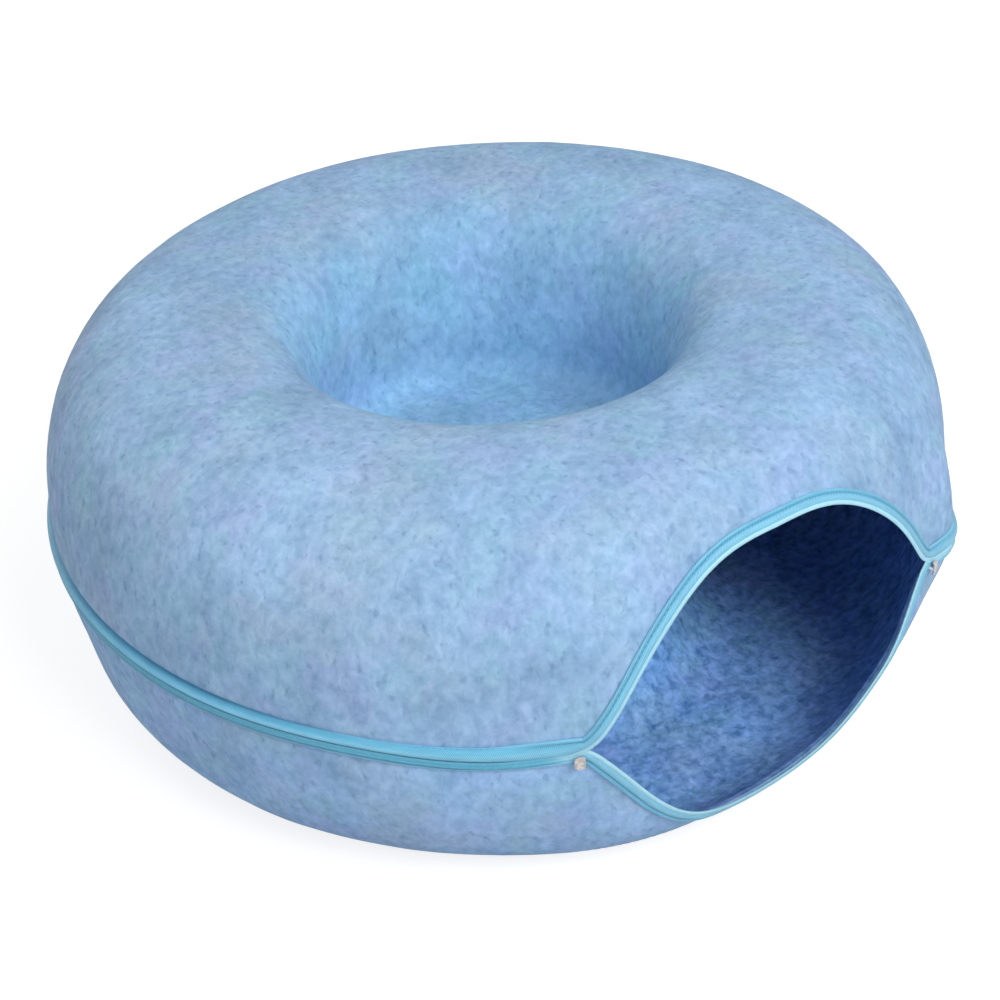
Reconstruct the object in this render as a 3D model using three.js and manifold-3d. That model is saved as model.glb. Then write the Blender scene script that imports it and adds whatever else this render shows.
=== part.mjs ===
// Felt cat tunnel: a ring-shaped tunnel of two moulded felt shells. A zip joins their rims all
// round at mid-height, and stays open along two mirrored arches that make the entrance.
// Millimetres, +Z up. The entrance looks along -Y and the tunnel rests on its base ring.

import * as THREE from 'three';
import { mergeVertices } from 'three/addons/utils/BufferGeometryUtils.js';
import Module from 'manifold-3d';

const wasm = await Module();
wasm.setup();

// Driving dimensions of the felt shells
const outerRadius = 300;
const ridgeRadius = 203;
const halfHeight = 132;
const wellRadius = 115;
const wallFullness = 2.5;
const wellFullness = 3.55;
const feltThickness = 4;
const floorGap = 0.3;
const wellFillet = 16;
const baseFlat = 1.5;

// Driving dimensions of the entrance, measured along the wall's face
const entranceHalfWidth = 139;
const archClimb = 101;
const archRound = 2.9;
const archFlare = 1.4;
const cornerSoftness = 8;
const corners = {
  left: { push: 4.5, pushReach: 45, sag: 5 },
  right: { push: 8.5, pushReach: 35, sag: -4 },
};
const sagPastCorner = 45;
const sagReach = 70;
const rimReach = 120;

// Driving dimensions of the zip
const feltEdgeAway = 5;
const edgeCurl = 3;
const edgeCurlAway = 11;
const tapeThickness = 1.2;
const flatPastCorner = 14;
const rollPastCorner = { upper: 150, lower: 50 };
const coilHalfWidth = 0.9;
const coilHalfDepth = 1.1;

// The ring stands a little in front of the origin, which is under the middle of the outline
const ringCentreY = -11;
const zipHeight = halfHeight - baseFlat;

// Fineness of the solids
const faceStep = 22;
const tunnelStep = 32;
const openColumnStep = 13;
const openColumnsPast = 50;
const closedColumnStep = 46;
const curveSteps = 160;
const filletSteps = 8;

const feltColour = 0x9fc1de;
const zipColour = 0x66b0d6;
const metalColour = 0xb4aaa0;

// Section of a tape, from its sewn edge to its coil. "away" is the distance from the zip's line
// along the wall, and "lift" is the height above the wall's face. A closed zip rolls the tape
// outwards, and an open one lets it lie flat.
const tapeSection = [
  { name: 'sewn edge', closedAway: 9.8, closedLift: 1.1, openAway: 9.2, openLift: 1.3 },
  { name: 'stitch line', closedAway: 7.4, closedLift: -0.3, openAway: 6.9, openLift: 1.1 },
  { name: 'rise', closedAway: 7.1, closedLift: 1.4, openAway: 6.4, openLift: 1.7 },
  { name: 'shoulder', closedAway: 5.9, closedLift: 3.3, openAway: 5.5, openLift: 2.4 },
  { name: 'crown', closedAway: 4.3, closedLift: 3.8, openAway: 4.4, openLift: 2.5 },
  { name: 'inner shoulder', closedAway: 3.1, closedLift: 3.0, openAway: 3.4, openLift: 2.0 },
  { name: 'coil edge', closedAway: 3.0, closedLift: 1.8, openAway: 2.9, openLift: 1.2 },
];
const coilCentre = { closedAway: 1.1, closedLift: 1.8, openAway: 1.1, openLift: 1.2 };

// Small helpers

const clamp01 = (value) => Math.min(1, Math.max(0, value));

const smoothStep = (value) => {
  const t = clamp01(value);
  return t * t * (3 - 2 * t);
};

const mix = (from, to, share) => from + (to - from) * share;

const bell = (distance, reach) => Math.exp(-((distance / reach) ** 2));

// The face of a shell, as a curve in (radius, height) from the zip's plane up the outer wall,
// over the ridge and down the well to the middle of its floor. It is a superellipse on each
// side of the ridge, and a fillet leads from the well's wall to its floor.

function superellipsePoint(reach, fullness, angle) {
  const across = reach * Math.cos(angle) ** (2 / fullness);
  const up = halfHeight * Math.sin(angle) ** (2 / fullness);
  return [across, up];
}

function faceCurve() {
  const points = [];
  for (let i = 0; i <= curveSteps; i += 1) {
    const angle = (i / curveSteps) * (Math.PI / 2);
    const [across, up] = superellipsePoint(outerRadius - ridgeRadius, wallFullness, angle);
    points.push(new THREE.Vector2(ridgeRadius + across, up));
  }
  const floorHeight = floorGap / 2 + feltThickness;
  for (let i = curveSteps - 1; i >= 0; i -= 1) {
    const angle = (i / curveSteps) * (Math.PI / 2);
    const [across, up] = superellipsePoint(ridgeRadius - wellRadius, wellFullness, angle);
    if (up > floorHeight + wellFillet) {
      points.push(new THREE.Vector2(ridgeRadius - across, up));
    }
  }
  const filletCentre = points[points.length - 1].x - wellFillet;
  for (let i = 1; i <= filletSteps; i += 1) {
    const angle = (i / filletSteps) * (Math.PI / 2);
    const radius = filletCentre + wellFillet * Math.cos(angle);
    points.push(new THREE.Vector2(radius, floorHeight + wellFillet * (1 - Math.sin(angle))));
  }
  points.push(new THREE.Vector2(0, floorHeight));
  return points;
}

const facePoints = faceCurve();
const faceLengths = [0];
for (let i = 1; i < facePoints.length; i += 1) {
  faceLengths.push(faceLengths[i - 1] + facePoints[i].distanceTo(facePoints[i - 1]));
}
const floorEdgeIndex = facePoints.length - 2;
const ridgeLength = faceLengths[curveSteps];
const floorEdgeLength = faceLengths[floorEdgeIndex];
const faceLength = faceLengths[faceLengths.length - 1];

// The curve's point and outward normal at a length along it; below the zip's plane it runs
// straight on.
function faceAt(length) {
  let index = 1;
  while (index < facePoints.length - 1 && faceLengths[index] < length) {
    index += 1;
  }
  const start = facePoints[index - 1];
  const end = facePoints[index];
  const share = (length - faceLengths[index - 1]) / (faceLengths[index] - faceLengths[index - 1]);
  const along = end.clone().sub(start).normalize();
  return {
    radius: mix(start.x, end.x, share),
    height: mix(start.y, end.y, share),
    outRadius: along.y,
    outHeight: -along.x,
  };
}

// The zip's line. "girth" is the distance round the wall from the middle of the entrance.

const pastCorner = (girth) => Math.abs(girth) - entranceHalfWidth;

function archAt(girth) {
  const share = Math.abs(girth) / entranceHalfWidth;
  return share >= 1 ? 0 : archClimb * (1 - share ** archRound) ** archFlare;
}

function zipClimb(girth) {
  const samples = 5;
  let total = 0;
  for (let i = 0; i < samples; i += 1) {
    const offset = mix(-cornerSoftness, cornerSoftness, i / (samples - 1));
    total += archAt(girth + offset);
  }
  return total / samples;
}

// How far the felt's edge climbs: it keeps its distance from the zip's line in all directions.
function edgeClimb(girth) {
  const samples = 12;
  let highest = 0;
  for (let i = -samples; i <= samples; i += 1) {
    const offset = (feltEdgeAway * i) / samples;
    const rise = Math.sqrt(feltEdgeAway ** 2 - offset ** 2);
    highest = Math.max(highest, zipClimb(girth + offset) + rise);
  }
  return highest;
}

// 1 where the tape lies flat, 0 where the closed zip rolls it outwards. The upper tape takes
// longer to roll than the lower one.
function openness(girth, side) {
  const rolled = side > 0 ? rollPastCorner.upper : rollPastCorner.lower;
  return 1 - smoothStep((pastCorner(girth) - flatPastCorner) / (rolled - flatPastCorner));
}

// How far the felt's rim curls in along the closed zip
function rimCurl(girth, climb, side) {
  const share = clamp01((edgeCurlAway - climb) / (edgeCurlAway - feltEdgeAway));
  return edgeCurl * (1 - openness(girth, side)) * share ** 2;
}

// A point of a shell's wall, "lift" above its face; side is 1 on the upper shell and -1 on the
// lower one. The zip's corners stand out a little. The closed zip sags beside the left one and
// climbs beside the right one.
function wallPoint(girth, length, lift, side) {
  const face = faceAt(length);
  const azimuth = girth / outerRadius;
  const past = pastCorner(girth);
  const corner = girth < 0 ? corners.left : corners.right;
  const nearRim = 1 - smoothStep(length / rimReach);
  const push = corner.push * bell(past, corner.pushReach) * nearRim;
  const drop = corner.sag * bell(past - sagPastCorner, sagReach) * nearRim;
  const radius = face.radius + face.outRadius * lift + push;
  const height = face.height + face.outHeight * lift;
  const level = side > 0 ? height : -Math.min(height, zipHeight);
  return new THREE.Vector3(
    radius * Math.sin(azimuth),
    -radius * Math.cos(azimuth),
    zipHeight + level - drop,
  );
}

// Girths of the columns: close together round the entrance, wide apart along the closed zip
function columnGirths() {
  const girths = [];
  const fineHalf = entranceHalfWidth + openColumnsPast;
  const fineSteps = Math.round((2 * fineHalf) / openColumnStep);
  for (let i = 0; i <= fineSteps; i += 1) {
    girths.push(mix(-fineHalf, fineHalf, i / fineSteps));
  }
  const restLength = 2 * Math.PI * outerRadius - 2 * fineHalf;
  const restSteps = Math.round(restLength / closedColumnStep);
  for (let i = 1; i < restSteps; i += 1) {
    girths.push(fineHalf + (restLength * i) / restSteps);
  }
  return girths.map((girth) =>
    girth > Math.PI * outerRadius ? girth - 2 * Math.PI * outerRadius : girth,
  );
}

const columns = columnGirths();

// Merges a re-laid geometry's seam and turns its faces outwards.
function closedGeometry(geometry) {
  geometry.deleteAttribute('normal');
  geometry.deleteAttribute('uv');
  const merged = mergeVertices(geometry, 1e-4);
  const position = merged.getAttribute('position');
  const corner = [new THREE.Vector3(), new THREE.Vector3(), new THREE.Vector3()];
  const kept = [];
  let volume = 0;
  for (let i = 0; i < merged.index.count; i += 3) {
    const face = [merged.index.getX(i), merged.index.getX(i + 1), merged.index.getX(i + 2)];
    if (face[0] !== face[1] && face[1] !== face[2] && face[2] !== face[0]) {
      face.forEach((vertex, k) => corner[k].fromBufferAttribute(position, vertex));
      volume += corner[0].dot(corner[1].clone().cross(corner[2]));
      kept.push(face);
    }
  }
  const outward = volume > 0 ? kept : kept.map((face) => [face[0], face[2], face[1]]);
  merged.setIndex(outward.flat());
  merged.computeVertexNormals();
  return merged;
}

// A felt shell: a lathe form whose rows run up the wall's face, over the ridge and down to the
// well's floor, and back along the tunnel's face to the cut edge.

function faceRows(climb, lift, step) {
  const rows = [climb, climb + 3, climb + 9];
  const wallSteps = Math.round(ridgeLength / step);
  for (let i = 1; i <= wallSteps; i += 1) {
    rows.push(mix(climb + 9, ridgeLength, i / wallSteps));
  }
  const wellSteps = Math.round((floorEdgeLength - ridgeLength) / step);
  for (let i = 1; i <= wellSteps; i += 1) {
    rows.push(mix(ridgeLength, floorEdgeLength, i / wellSteps));
  }
  return rows.map((length) => ({ length, lift }));
}

function shellRows(girth) {
  const climb = edgeClimb(girth);
  const outside = faceRows(climb, 0, faceStep);
  const tunnelSide = faceRows(climb, -feltThickness, tunnelStep).reverse();
  const middle = { length: faceLength, lift: 0 };
  const underMiddle = { length: faceLength, lift: -feltThickness };
  return [underMiddle, ...tunnelSide, ...outside, middle];
}

function feltShell(side) {
  const rowCount = shellRows(0).length;
  const profile = [];
  for (let j = 0; j < rowCount; j += 1) {
    const onAxis = j === 0 || j === rowCount - 1;
    profile.push(new THREE.Vector2(onAxis ? 0 : 1, j));
  }
  const lathe = new THREE.LatheGeometry(profile, columns.length);
  const position = lathe.getAttribute('position');
  for (let i = 0; i <= columns.length; i += 1) {
    const girth = columns[i % columns.length];
    shellRows(girth).forEach((row, j) => {
      const curl = rimCurl(girth, row.length, side);
      const point = wallPoint(girth, row.length, row.lift - curl, side);
      position.setXYZ(i * rowCount + j, point.x, point.y, point.z);
    });
  }
  return closedGeometry(lathe);
}

// A strand that follows the zip's line all round: a torus whose section is laid square to it.
// sectionAt gives the section's points as { away, lift } at a girth and side.
function zipStrand(sectionAt, side) {
  const sides = sectionAt(0, side).length;
  const torus = new THREE.TorusGeometry(outerRadius, 1, sides, columns.length);
  const position = torus.getAttribute('position');
  for (let i = 0; i <= columns.length; i += 1) {
    const girth = columns[i % columns.length];
    const climb = zipClimb(girth);
    const slope = (zipClimb(girth + 1) - zipClimb(girth - 1)) / 2;
    const stretch = outerRadius / faceAt(climb).radius;
    const square = 1 / Math.hypot(1, slope);
    const section = sectionAt(girth, side);
    for (let j = 0; j <= sides; j += 1) {
      const { away, lift } = section[j % sides];
      const besides = girth - away * slope * square * stretch;
      const point = wallPoint(besides, climb + away * square, lift, side);
      position.setXYZ(j * (columns.length + 1) + i, point.x, point.y, point.z);
    }
  }
  return closedGeometry(torus);
}

function tapeSectionAt(girth, side) {
  const open = openness(girth, side);
  const middle = tapeSection.map(
    (row) =>
      new THREE.Vector2(
        mix(row.closedAway, row.openAway, open),
        mix(row.closedLift, row.openLift, open),
      ),
  );
  const faces = { front: [], back: [] };
  middle.forEach((point, k) => {
    const before = middle[Math.max(0, k - 1)];
    const after = middle[Math.min(middle.length - 1, k + 1)];
    const along = after.clone().sub(before).normalize();
    const half = tapeThickness / 2;
    faces.front.push({ away: point.x + along.y * half, lift: point.y - along.x * half });
    faces.back.push({ away: point.x - along.y * half, lift: point.y + along.x * half });
  });
  return [...faces.front, ...faces.back.reverse()];
}

function coilSectionAt(girth, side) {
  const open = openness(girth, side);
  const away = mix(coilCentre.closedAway, coilCentre.openAway, open);
  const lift = mix(coilCentre.closedLift, coilCentre.openLift, open);
  const sides = 6;
  const section = [];
  for (let k = 0; k < sides; k += 1) {
    const angle = (2 * Math.PI * k) / sides;
    section.push({
      away: away + coilHalfWidth * Math.cos(angle),
      lift: lift + coilHalfDepth * Math.sin(angle),
    });
  }
  return section;
}

// A slider: two plates, a post between the parted coils and a low bridge, all one casting.
// Its own x runs along the zip towards the entrance, y out of the wall and z up the wall.

const slider = {
  length: 10,
  width: 8.4,
  plate: 1.4,
  cornerRadius: 2.6,
  frontLift: 3.6,
  backLift: -1.9,
  postLength: 2,
  postWidth: 2,
  postAlong: 3.8,
  bridgeLength: 7,
  bridgeHeight: 2.8,
  bridgeWidth: 2.6,
  bridgeBar: 1.1,
  pastCorner: 3.8,
};

function toManifold(geometry) {
  const merged = geometry.clone();
  merged.deleteAttribute('normal');
  merged.deleteAttribute('uv');
  const welded = mergeVertices(merged, 1e-4);
  return new wasm.Manifold(
    new wasm.Mesh({
      numProp: 3,
      vertProperties: new Float32Array(welded.getAttribute('position').array),
      triVerts: new Uint32Array(welded.index.array),
    }),
  );
}

function fromManifold(solid) {
  const mesh = solid.getMesh();
  const geometry = new THREE.BufferGeometry();
  geometry.setAttribute('position', new THREE.BufferAttribute(mesh.vertProperties, 3));
  geometry.setIndex(new THREE.BufferAttribute(mesh.triVerts, 1));
  geometry.computeVertexNormals();
  return geometry;
}

function sliderPlate(lift) {
  const halfLength = slider.length / 2;
  const halfWidth = slider.width / 2;
  const r = slider.cornerRadius;
  const outline = new THREE.Shape();
  outline.moveTo(-halfLength + r, -halfWidth);
  outline.lineTo(halfLength - r, -halfWidth);
  outline.absarc(halfLength - r, -halfWidth + r, r, -Math.PI / 2, 0);
  outline.lineTo(halfLength, halfWidth - r);
  outline.absarc(halfLength - r, halfWidth - r, r, 0, Math.PI / 2);
  outline.lineTo(-halfLength + r, halfWidth);
  outline.absarc(-halfLength + r, halfWidth - r, r, Math.PI / 2, Math.PI);
  outline.lineTo(-halfLength, -halfWidth + r);
  outline.absarc(-halfLength + r, -halfWidth + r, r, Math.PI, 1.5 * Math.PI);
  const plate = new THREE.ExtrudeGeometry(outline, {
    depth: slider.plate,
    bevelEnabled: false,
    curveSegments: 2,
  });
  plate.rotateX(Math.PI / 2);
  plate.translate(0, lift + slider.plate, 0);
  return plate;
}

function sliderPost() {
  const depth = slider.frontLift - slider.backLift;
  const post = new THREE.BoxGeometry(slider.postLength, depth, slider.postWidth);
  post.translate(slider.postAlong, slider.backLift + slider.plate / 2 + depth / 2, 0);
  return post;
}

function sliderBridge() {
  const half = slider.bridgeLength / 2;
  const inner = half - slider.bridgeBar;
  const arch = new THREE.Shape();
  arch.moveTo(-half, 0);
  arch.absellipse(0, 0, half, slider.bridgeHeight, Math.PI, 0, true);
  arch.lineTo(inner, 0);
  arch.absellipse(0, 0, inner, slider.bridgeHeight - slider.bridgeBar, 0, Math.PI, false);
  const bridge = new THREE.ExtrudeGeometry(arch, {
    depth: slider.bridgeWidth,
    bevelEnabled: false,
    curveSegments: 4,
  });
  bridge.translate(0, slider.frontLift + slider.plate / 2, -slider.bridgeWidth / 2);
  return bridge;
}

function sliderGeometry() {
  const front = toManifold(sliderPlate(slider.frontLift));
  const back = toManifold(sliderPlate(slider.backLift));
  const post = toManifold(sliderPost());
  const bridge = toManifold(sliderBridge());
  return fromManifold(front.add(back).add(post).add(bridge));
}

// The whole object

const felt = () =>
  new THREE.MeshStandardMaterial({ color: feltColour, roughness: 0.95, metalness: 0 });
const zipCloth = () =>
  new THREE.MeshStandardMaterial({ color: zipColour, roughness: 0.7, metalness: 0 });
const zipPlastic = () =>
  new THREE.MeshStandardMaterial({ color: zipColour, roughness: 0.45, metalness: 0 });
const metal = () =>
  new THREE.MeshStandardMaterial({ color: metalColour, roughness: 0.35, metalness: 1 });

function namedMesh(name, geometry, material) {
  const mesh = new THREE.Mesh(geometry, material);
  mesh.name = name;
  return mesh;
}

// Puts a slider on the closed end of the zip; towards is 1 when the entrance lies to its right.
function placeSlider(name, towards) {
  const girth = -towards * (entranceHalfWidth + slider.pastCorner);
  const mesh = namedMesh(name, sliderGeometry(), metal());
  mesh.rotation.set(towards > 0 ? Math.PI : 0, 0, towards > 0 ? 0 : Math.PI);
  const onWall = new THREE.Group();
  onWall.rotation.z = girth / outerRadius;
  const seat = wallPoint(girth, 0, 0, 1);
  mesh.position.set(0, -Math.hypot(seat.x, seat.y), seat.z);
  onWall.add(mesh);
  return onWall;
}

const tunnel = new THREE.Group();
for (const [place, side] of [['upper', 1], ['lower', -1]]) {
  tunnel.add(namedMesh(`${place}_felt`, feltShell(side), felt()));
  tunnel.add(namedMesh(`${place}_zip_tape`, zipStrand(tapeSectionAt, side), zipCloth()));
  tunnel.add(namedMesh(`${place}_zip_coil`, zipStrand(coilSectionAt, side), zipPlastic()));
}
tunnel.add(placeSlider('left_slider', 1));
tunnel.add(placeSlider('right_slider', -1));
tunnel.position.y = ringCentreY;

const catTunnel = new THREE.Group();
catTunnel.add(tunnel);

export default catTunnel;
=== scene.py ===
# Felt cat tunnel: two moulded felt shells, the zip that joins them and its two sliders.
# Metres, +Z up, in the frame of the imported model. The entrance looks along -Y.

import math

import bpy
import numpy as np
from mathutils import Matrix, Vector, noise


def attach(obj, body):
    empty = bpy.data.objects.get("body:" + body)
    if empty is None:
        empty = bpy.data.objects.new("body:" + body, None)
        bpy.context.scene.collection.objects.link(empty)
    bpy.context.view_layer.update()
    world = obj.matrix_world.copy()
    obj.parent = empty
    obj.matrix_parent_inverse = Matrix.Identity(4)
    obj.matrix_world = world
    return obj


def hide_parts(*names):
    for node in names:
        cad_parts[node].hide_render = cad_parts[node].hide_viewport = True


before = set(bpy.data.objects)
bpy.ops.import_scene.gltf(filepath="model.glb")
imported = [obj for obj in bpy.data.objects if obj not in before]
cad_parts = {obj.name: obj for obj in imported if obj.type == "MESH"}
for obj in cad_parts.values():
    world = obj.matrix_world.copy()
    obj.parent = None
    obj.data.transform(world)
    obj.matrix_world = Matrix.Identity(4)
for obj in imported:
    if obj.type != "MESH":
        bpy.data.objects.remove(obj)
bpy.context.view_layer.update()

MM = 0.001

# Sizes of the felt shells
OUTER_RADIUS = 300 * MM
TURN = 2 * math.pi * OUTER_RADIUS
RIDGE_RADIUS = 203 * MM
HALF_HEIGHT = 132 * MM
WELL_RADIUS = 115 * MM
WALL_FULLNESS = 2.5
WELL_FULLNESS = 3.55
FELT_THICKNESS = 4 * MM
FLOOR_GAP = 0.3 * MM
WELL_FILLET = 16 * MM
BASE_FLAT = 1.5 * MM
RING_CENTRE_Y = -11 * MM
ZIP_HEIGHT = HALF_HEIGHT - BASE_FLAT

# Sizes of the entrance, measured along the wall's face
ENTRANCE_HALF_WIDTH = 139 * MM
ARCH_CLIMB = 101 * MM
ARCH_ROUND = 2.9
ARCH_FLARE = 1.4
CORNER_SOFTNESS = 2 * MM
CORNER_SLOPE = 0.85
CORNER_RUN = 10 * MM
# How the wall leaves its round shape near each corner, in millimetres: how far it stands out and
# how far the zip's line hangs down, each with where past the corner that is most and its reach.
CORNERS = {
    "left": {"push": (5.5, -10, 21), "sags": [(5.3, 62, 80), (2.2, 210, 110)]},
    "right": {"push": (10.6, 35, 29), "sags": [(-6.4, -30, 72)]},
}
SAG_ONSET = 25 * MM
RIM_REACH = {"upper": 120 * MM, "lower": 55 * MM}

# The seam between the two tapes hangs below the zip's line. Its onset is measured past a corner,
# and its width is how far from the line the tape begins to follow it, and follows it wholly.
SEAM_DROP = 1.4 * MM
SEAM_DROP_ONSET = (-2 * MM, 12 * MM)
SEAM_DROP_MORE = 3.4 * MM
SEAM_DROP_PAST_CORNER = 42 * MM
SEAM_DROP_REACH = 60 * MM
SEAM_WIDTH = (8 * MM, 3 * MM)

# Dents and swells in the wall: azimuth in degrees from the entrance, height from the zip, how far
# out the wall stands there, reach in degrees round the wall and reach up it. Lengths are in
# millimetres.
DENTS = {
    "upper": [(-146, 108, -2.0, 30, 45), (80, 108, 2.0, 30, 40)],
    "lower": [(-103, 52, -4.2, 40, 30), (26, 76, -3.0, 22, 26), (-20, 105, 3.5, 16, 40)],
}

# Low relief that pressing leaves in the felt: for each of three noises how fine it is, its shift
# and its share, then how high the relief stands, where past the rim it begins and is full, and how
# much of it is left in the middle of the well.
SWELLS = [(8, (0, 0, 0), 0.9), (24, (7, 3, 1), 0.32), (70, (2, 9, 4), 0.13)]
RELIEF = 0.9 * MM
RELIEF_PAST_RIM = (6 * MM, 46 * MM)
RELIEF_ON_FLOOR = 0.35
RELIEF_FLOOR_REACH = 60 * MM

# How finely the shells are meshed: rows past the rim, further rows, and columns
RIM_ROWS = np.array([0, 0.8, 1.8, 3, 4.4, 6.2, 8.5, 11.5, 15]) * MM
FELT_ROWS = 60
ENTRANCE_COLUMNS = 125
OTHER_COLUMNS = 225
FINE_PAST_CORNER = 45 * MM

# Sizes of the felt's rim
FELT_EDGE_AWAY = 5 * MM
FELT_EDGE_SHARE = 0.4
FELT_EDGE_TAPER = 7 * MM
EDGE_CURL = 6 * MM
EDGE_CURL_AWAY = 10.5 * MM
EDGE_CURL_ROLLED = 0.3

# Down is towards the zip's line on the upper shell and away from it on the lower one
DOWN = {"upper": -1, "lower": 1}

# Where a tape changes from flat, beside the entrance, to rolled outwards and then to sunk in the
# closed seam: how far past the corner each change begins and ends.
ROLL = {"upper": (8 * MM, 60 * MM), "lower": (4 * MM, 40 * MM)}
SINK = {"upper": (110 * MM, 250 * MM), "lower": (60 * MM, 200 * MM)}

# Section of a tape, in millimetres, from its sewn edge, over its fold and behind its coil: how far
# from the zip's line it lies along the wall and how high above the wall's face.
TAPE_SECTIONS = {
    "flat": [
        (8.9, 0.5), (8.5, 1.5), (7.8, 1.3), (7.1, 0.6), (6.4, 0.4),
        (5.7, 1.2), (4.9, 1.8), (4.0, 1.9), (3.1, 1.6), (2.4, 1.2),
        (1.8, 0.7), (1.5, 0.66), (1.2, 0.66), (0.9, 0.66), (0.6, 0.66),
    ],
    "rolled": [
        (7.1, -0.9), (7.0, -0.3), (6.8, 0.5), (6.5, 1.4), (6.2, 2.2),
        (5.7, 2.9), (5.1, 3.3), (4.5, 3.2), (3.9, 2.5), (3.4, 1.5),
        (3.1, 0.6), (2.6, -0.1), (1.8, 0.0), (1.0, 0.3), (0.2, 0.5),
    ],
    "sunk": [
        (6.5, -4.6), (6.1, -4.5), (5.8, -3.7), (5.6, -2.2), (5.45, -0.4),
        (5.25, 1.4), (4.9, 2.7), (4.4, 3.2), (3.8, 2.5), (3.3, 1.3),
        (2.9, 0.4), (2.4, -0.2), (1.7, 0.0), (0.9, 0.4), (0.2, 0.6),
    ],
}
TAPE_ROWS = 43
TAPE_WIDTH = 14 * MM
TAPE_THICKNESS = 1.0 * MM
LOWER_TAPE_LIFT = 0.6
COLUMN_PITCH = {"closed": 5.0 * MM, "corner": 1.2 * MM, "open": 2.4 * MM}
CORNER_REACH = 26 * MM

# Stitches: the tape's row that they sit on, how far above it, and the shape of one
STITCH_PITCH = 3.4 * MM
STITCH_ROWS = {"flat": 4, "rolled": 2, "sunk": 1}
STITCH_LIFT = {"flat": 0.55 * MM, "rolled": -0.3 * MM, "sunk": -0.4 * MM}
STITCH_RADIUS = 0.26 * MM
STITCH_HALF = 1.25 * MM
STITCH_RISE = 0.22 * MM
STITCH_DIP = 0.75 * MM
STITCH_THINNING = 0.35

# Coils: one turn, the slimmer cord inside the turns, and where they lie
TOOTH_PITCH = 1.3 * MM
TOOTH = {"thick": 0.55 * MM, "deep": 0.95 * MM, "long": 1.7 * MM}
TOOTH_HEAD = 0.12
TOOTH_LEAN = 0.35
TOOTH_ROUND = 0.8
CORD_SLIMMER = {"deep": 0.16 * MM, "long": 0.25 * MM}
COIL_AWAY = {"flat": 1.0 * MM, "rolled": 1.1 * MM, "sunk": 0.8 * MM}
COIL_LIFT = {"flat": 1.0 * MM, "rolled": 2.0 * MM, "sunk": 2.2 * MM}

# The wall: where a point lies that is some way round it, some way up it and some way out of it


def smooth_step(value):
    t = np.clip(value, 0, 1)
    return t * t * (3 - 2 * t)


def eased(value, start, end):
    return smooth_step((value - start) / (end - start))


def mix(a, b, share):
    return a + (b - a) * share


def bell(distance, reach):
    return np.exp(-((distance / reach) ** 2))


def bulge(angle, reach, fullness):
    """Radius and height of the wall or the well, rounded from the zip's level to the ridge."""
    across = np.cos(angle) ** (2 / fullness) * reach
    return np.stack([RIDGE_RADIUS + across, HALF_HEIGHT * np.sin(angle) ** (2 / fullness)], 1)


def face_curve():
    """The felt's outer face from the zip up the wall, over the ridge and down to the well's middle,
    as length along it, radius, height and outward normal."""
    angle = np.linspace(0, math.pi / 2, 900)
    wall = bulge(angle, OUTER_RADIUS - RIDGE_RADIUS, WALL_FULLNESS)
    well = bulge(angle[::-1][1:], WELL_RADIUS - RIDGE_RADIUS, WELL_FULLNESS)
    floor_height = FLOOR_GAP / 2 + FELT_THICKNESS
    well = well[well[:, 1] > floor_height + WELL_FILLET]
    turn = np.linspace(0, math.pi / 2, 24)[1:]
    inward = well[-1, 0] - WELL_FILLET + WELL_FILLET * np.cos(turn)
    fillet = np.stack([inward, floor_height + WELL_FILLET * (1 - np.sin(turn))], 1)
    floor = np.stack([np.linspace(fillet[-1, 0], 0, 30)[1:], np.full(29, floor_height)], 1)
    points = np.concatenate([wall, well, fillet, floor])
    steps = np.linalg.norm(np.diff(points, axis=0), axis=1)
    length = np.concatenate([[0], np.cumsum(steps)])
    even = np.linspace(0, length[-1], 2400)
    radius = np.interp(even, length, points[:, 0])
    height = np.interp(even, length, points[:, 1])
    along = np.stack([np.gradient(radius, even), np.gradient(height, even)], 1)
    along /= np.linalg.norm(along, axis=1)[:, None]
    along[0] = (0, 1)
    return even, radius, height, along[:, 1], -along[:, 0]


FACE = face_curve()
FACE_LENGTH = FACE[0][-1]


def face_at(length):
    """Radius, height and outward normal of the face; below the zip it runs straight on down."""
    held = np.maximum(length, 0)
    radius, height, out_radius, out_height = (np.interp(held, FACE[0], row) for row in FACE[1:])
    return radius, height + np.minimum(length, 0), out_radius, out_height


def past_corner(girth):
    return np.abs(girth) - ENTRANCE_HALF_WIDTH


def arch_at(girth):
    share = np.clip(np.abs(girth) / ENTRANCE_HALF_WIDTH, 0, 1)
    arch = ARCH_CLIMB * (1 - share**ARCH_ROUND) ** ARCH_FLARE
    return np.maximum(arch, np.clip(-past_corner(girth), 0, CORNER_RUN) * CORNER_SLOPE)


def zip_climb(girth):
    offsets = np.linspace(-CORNER_SOFTNESS, CORNER_SOFTNESS, 9)
    return sum(arch_at(girth + offset) for offset in offsets) / len(offsets)


def edge_climb(girth):
    """How far the felt's edge climbs: it keeps its distance from the zip's line all along it."""
    offsets = np.linspace(-FELT_EDGE_AWAY, FELT_EDGE_AWAY, 33)
    rises = np.sqrt(FELT_EDGE_AWAY**2 - offsets**2)
    return np.max([zip_climb(girth + o) + r for o, r in zip(offsets, rises)], axis=0)


def lie(girth, place):
    """Shares in which the tape lies flat, rolled and sunk at a girth."""
    past = past_corner(girth)
    rolled, sunk = eased(past, *ROLL[place]), eased(past, *SINK[place])
    return {"flat": 1 - rolled, "rolled": rolled * (1 - sunk), "sunk": rolled * sunk}


def seam_drop(girth):
    """How far the seam between the two tapes hangs below the zip's line, just past a corner."""
    past = past_corner(girth)
    more = SEAM_DROP_MORE * bell(past - SEAM_DROP_PAST_CORNER, SEAM_DROP_REACH)
    return (SEAM_DROP + more) * eased(past, *SEAM_DROP_ONSET)


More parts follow.
